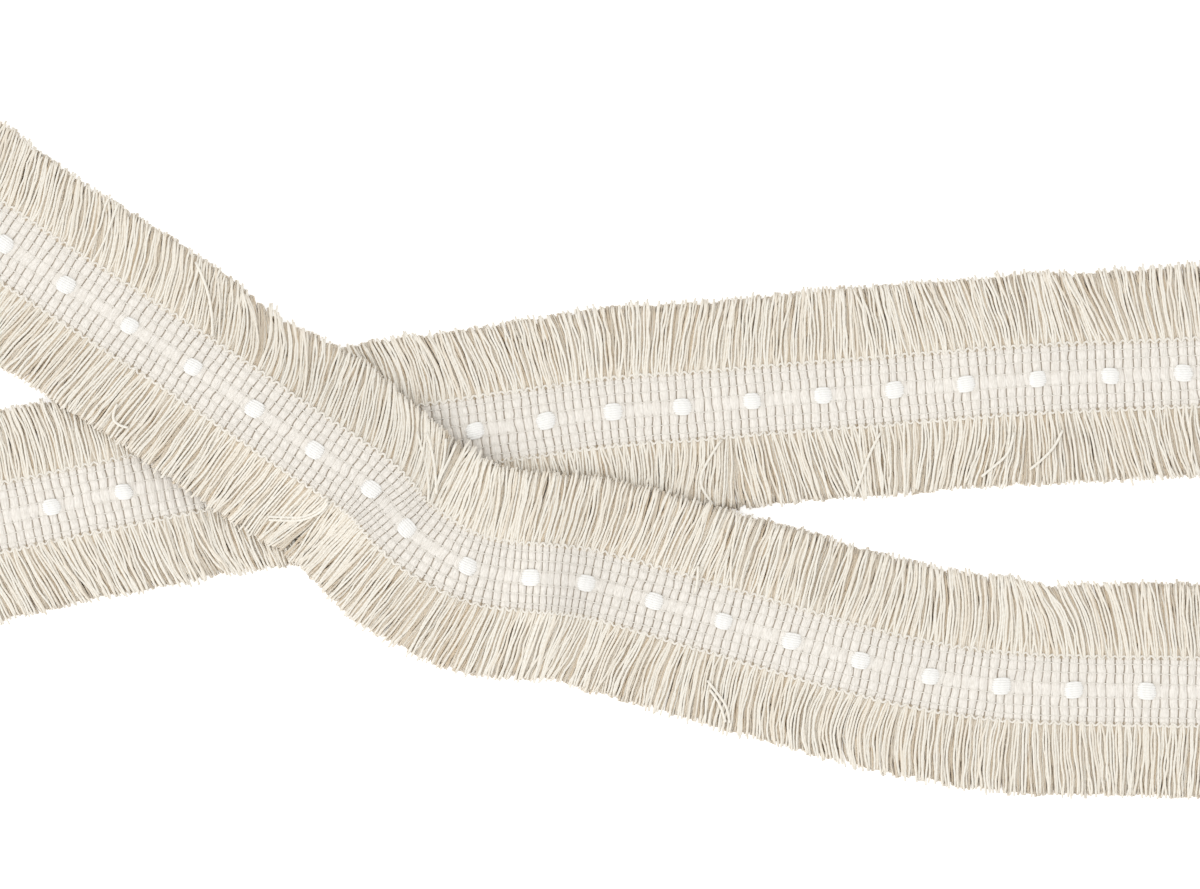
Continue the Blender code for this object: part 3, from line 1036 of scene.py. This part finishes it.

# The yarn: how much painted shade it has at its sides and between its plies, and how much darker it is
# among its fibres, at random. Pairs are as above.
FLANK_SHADE = 0.45
PLY_SHADE = 0.13
FIBRE_SHADE = 0.12
FIBRE_GRAIN = (1.5, 1.5, 2.2)
FIBRE_BUMP = 0.3
ROOT_CONTRAST = (-9.0, 1.0)
ROOT_BY_TONE = (-1.6, 1.35)
TIP_CONTRAST = (14.0, -13.0)
TIP_SHADE = 0.35
YARN_ROUGHNESS = (0.2, 0.72)
YARN_SHEEN = 0.2
PLIES = 2


def tape_material():
    """The tape's weave: lighter and darker threads, painted shade in the grooves, and creases at the
    warp threads drawn with a bump and painted shade.
    """
    made = Nodes("tape_weave")
    weave = made.attribute("weave", "Vector")
    threads = made.noise(weave, THREAD_GRAIN, 1.0)
    crossing = made.noise(weave, CROSSING_GRAIN, 1.0)
    mixed = made.line(threads, THREAD_WEIGHT, made.math("MULTIPLY", crossing, CROSSING_WEIGHT))
    share = made.line(mixed, *WEAVE_CONTRAST, clamp=True)
    _, across, pinched = made.parts(weave)
    aside = made.math("ABSOLUTE", across)
    near = made.math("ABSOLUTE", made.math("SUBTRACT", aside, WARP_ROWS[0]))
    for row in WARP_ROWS[1:]:
        near = made.math("MINIMUM", near, made.math("ABSOLUTE", made.math("SUBTRACT", aside, row)))
    pinch = made.line(near, -1 / PINCH_REACH, 1.0, clamp=True)
    pinch = made.math("MULTIPLY", pinch, pinched)
    # Painted shade in the creases beside the warp threads.
    share = made.line(pinch, PINCH_PAINTED_SHADE, share, clamp=True)
    colour = made.mix(share, TAPE_DARK, TAPE_LIGHT)
    # Painted shade in the grooves: the deeper the groove, the darker.
    deep = made.line(made.attribute("hollow"), *GROOVE_CONTRAST, clamp=True)
    colour = made.mix(deep, colour, GROOVE_PAINTED_SHADE)
    made.bump(made.line(pinch, PINCH_BUMP, threads), WEAVE_BUMP)
    return made.finish(colour, made.line(threads, *TAPE_ROUGHNESS), TAPE_SHEEN)


def cut_ends(made, colour, tone):
    """The colour of the fringe's yarn, with painted shade where it leaves the tape, and duller at its
    cut ends.
    """
    share = made.attribute("share")
    # Painted shade at the roots, stronger on the lower tones.
    root = made.line(share, *ROOT_CONTRAST, clamp=True)
    low = made.line(tone, *ROOT_BY_TONE, clamp=True)
    colour = made.mix(made.math("MULTIPLY", root, low), colour, YARN_ROOT_SHADE)
    end = made.line(share, *TIP_CONTRAST, clamp=True)
    return made.mix(made.math("MULTIPLY", end, TIP_SHADE), colour, YARN_TIP)


def yarn_material(name, light, deep, ply_depth, twist, cut=False):
    """Two-ply yarn, with a turn every twist in millimetres: the plies show in its surface and in painted
    shade between them, and its sides get painted shade.
    """
    made = Nodes(name)
    turn = made.attribute("turn", "Vector")
    tone = made.attribute("tone")
    beside, above, along = made.parts(turn)
    angle = made.math("ARCTAN2", above, beside)
    helix = made.line(along, 2 * math.pi / twist, made.math("MULTIPLY", angle, PLIES))
    ply = made.line(made.math("SINE", helix), 0.5, 0.5)
    fibres = made.noise(turn, FIBRE_GRAIN, 3.0)
    colour = made.mix(tone, deep, light)
    # Painted shade: the sides of a strand are darker than its top.
    flank = made.math("SUBTRACT", 1.0, made.math("MAXIMUM", above, 0.0))
    colour = made.mix(made.math("MULTIPLY", flank, FLANK_SHADE), colour, deep)
    if cut:
        colour = cut_ends(made, colour, tone)
    # Painted shade between the plies.
    between = made.math("SUBTRACT", 1.0, ply)
    colour = made.mix(made.math("MULTIPLY", between, PLY_SHADE), colour, deep)
    colour = made.mix(made.math("MULTIPLY", fibres, FIBRE_SHADE), colour, deep)
    made.bump(made.line(fibres, FIBRE_BUMP, ply), ply_depth)
    return made.finish(colour, made.line(fibres, *YARN_ROUGHNESS), YARN_SHEEN)


def look(piece, material, slot, *nodes):
    """Gives a piece its material and its body, and hides the solids that it stands for."""
    piece.data.materials.append(material)
    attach(piece, "root")
    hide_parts(*nodes)


# The floor, in metres.
FLOOR_REACH = 4.0
FLOOR_GLOW = 0.3
FLOOR_ROUGHNESS = 0.9


def floor():
    """A plain white floor."""
    mesh = bpy.data.meshes.new("floor")
    corners = [(x * FLOOR_REACH, y * FLOOR_REACH, 0) for x, y in ((-1, -1), (1, -1), (1, 1), (-1, 1))]
    mesh.from_pydata(corners, [], [(0, 1, 2, 3)])
    plane = bpy.data.objects.new("floor", mesh)
    bpy.context.scene.collection.objects.link(plane)
    made = Nodes("floor_white")
    made.feed(made.shader.inputs["Emission Color"], (1, 1, 1, 1))
    made.feed(made.shader.inputs["Emission Strength"], FLOOR_GLOW)
    mesh.materials.append(made.finish(FLOOR_WHITE, FLOOR_ROUGHNESS, 0.0))


# The photograph shows this much of the table, in millimetres, and this place is in its middle.
VIEW_WIDTH = 333.3
VIEW_MIDDLE = (59.0, -3.15)
# The camera, straight above it: its height in metres and its sensor in millimetres.
CAMERA_HEIGHT = 1.7
SENSOR = 36.0
CLIP_END = 20.0


def camera():
    """A camera that looks straight down, with a long lens, as in the photograph."""
    data = bpy.data.cameras.new("camera")
    data.sensor_width = SENSOR
    data.lens = SENSOR * CAMERA_HEIGHT / (VIEW_WIDTH * MM)
    data.clip_end = CLIP_END
    made = bpy.data.objects.new("camera", data)
    made.location = (VIEW_MIDDLE[0] * MM, VIEW_MIDDLE[1] * MM, CAMERA_HEIGHT)
    bpy.context.scene.collection.objects.link(made)
    bpy.context.scene.camera = made


# The light: a bright white world, and a lamp at the lower left, in metres and watts.
WORLD_STRENGTH = 1.2
LAMP_PLACE = (-2.0, -1.2, 1.1)
LAMP_SIZE = 2.0
LAMP_POWER = 23


def studio():
    """Plain soft light."""
    world = bpy.data.worlds.new("studio")
    world.use_nodes = True
    world.node_tree.nodes["Background"].inputs["Color"].default_value = (1, 1, 1, 1)
    world.node_tree.nodes["Background"].inputs["Strength"].default_value = WORLD_STRENGTH
    bpy.context.scene.world = world
    data = bpy.data.lights.new("key", "AREA")
    data.shape = "SQUARE"
    data.size = LAMP_SIZE
    data.energy = LAMP_POWER
    lamp = bpy.data.objects.new("key", data)
    lamp.location = LAMP_PLACE
    way = -np.array(LAMP_PLACE) / np.linalg.norm(LAMP_PLACE)
    lamp.rotation_euler = (math.acos(-way[2]), 0, math.atan2(way[1], way[0]) - math.pi / 2)
    bpy.context.scene.collection.objects.link(lamp)
    bpy.context.scene.view_settings.view_transform = "Standard"


def main():
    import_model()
    route = Route()
    camera()
    studio()
    floor()

    # Each yarn's second colour is its painted shade at the sides and between the plies, and a darker
    # tone among its fibres.
    yarn = yarn_material("fringe_yarn", YARN_LIGHT, YARN_SHADE_AND_DARK, ply_depth=0.00007, twist=1.7, cut=True)
    thread = yarn_material("edge_thread", THREAD_LIGHT, TAPE_DARK, ply_depth=0.0001, twist=1.1)
    white = yarn_material("dot_white", DOT_WHITE, DOT_SHADE, ply_depth=0.00006, twist=1.6)

    band = tape(route)
    warp = warp_threads(route)
    cords = [edge_cord("edge_cord_inner", route, INNER), edge_cord("edge_cord_outer", route, OUTER)]
    pads = dots(route)
    look(band, tape_material(), "woven_tape", "tape")
    look(warp, thread, "woven_tape", "tape")
    for cord in cords:
        look(cord, thread, "woven_tape", "tape")
    look(pads, white, "dot_yarn", *(f"dot_{n + 1:02d}" for n in range(DOT_COUNT)))

    fringes, fringe_solids = [], []
    for word, side, seed in FRINGES:
        solids = [f"fringe_{word}_{part}" for part in FRINGE_PARTS]
        for layer in (UPPER, UNDER):
            piece = yarn_layer(f"fringe_{word}_{layer.word}", route, side, layer, seed)
            look(piece, yarn, "fringe_yarn", *solids)
            fringes.append(piece)
        fringe_solids += solids
    strays = stray_yarn(route)
    look(strays, yarn, "fringe_yarn", *fringe_solids)
    fringes.append(strays)


main()
